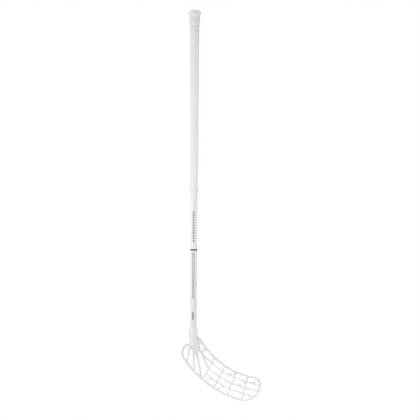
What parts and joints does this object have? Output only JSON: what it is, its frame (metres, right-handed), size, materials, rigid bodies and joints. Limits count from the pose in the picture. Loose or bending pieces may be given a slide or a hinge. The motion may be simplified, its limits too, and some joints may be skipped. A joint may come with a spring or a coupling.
{
  "type": "floorball stick",
  "caption": "Straight tapered shaft with a wrapped grip and a rubber end cap, and a hooked lattice blade for playing a light ball.",
  "frame": {"origin": "on the shaft's axis, halfway down the wrapped grip", "axes": "+Z along the shaft towards the end cap, +X towards the toe of the blade, -Y out of the blade's hollow face"},
  "size_m": [0.231, 0.0422, 1.1243],
  "materials": {
    "shaft_lacquer": "glossy white lacquer",
    "grip_wrap": "matte white wrap",
    "cap_rubber": "matte white rubber",
    "collar_rubber": "matte white rubber",
    "ring": "dark grey film",
    "blade_plastic": "satin white moulding",
    "screw_steel": "zinc plated steel",
    "glue": "hot-melt glue"
  },
  "bodies": {
    "root": {"shaft_tube": "shaft_lacquer", "grip_wrap": "grip_wrap", "end_cap": "cap_rubber", "grip_collar": "collar_rubber", "shaft_ring": "ring", "blade": "blade_plastic", "blade_screws": "screw_steel", "socket_glue": "glue"}
  },
  "joints": []
}
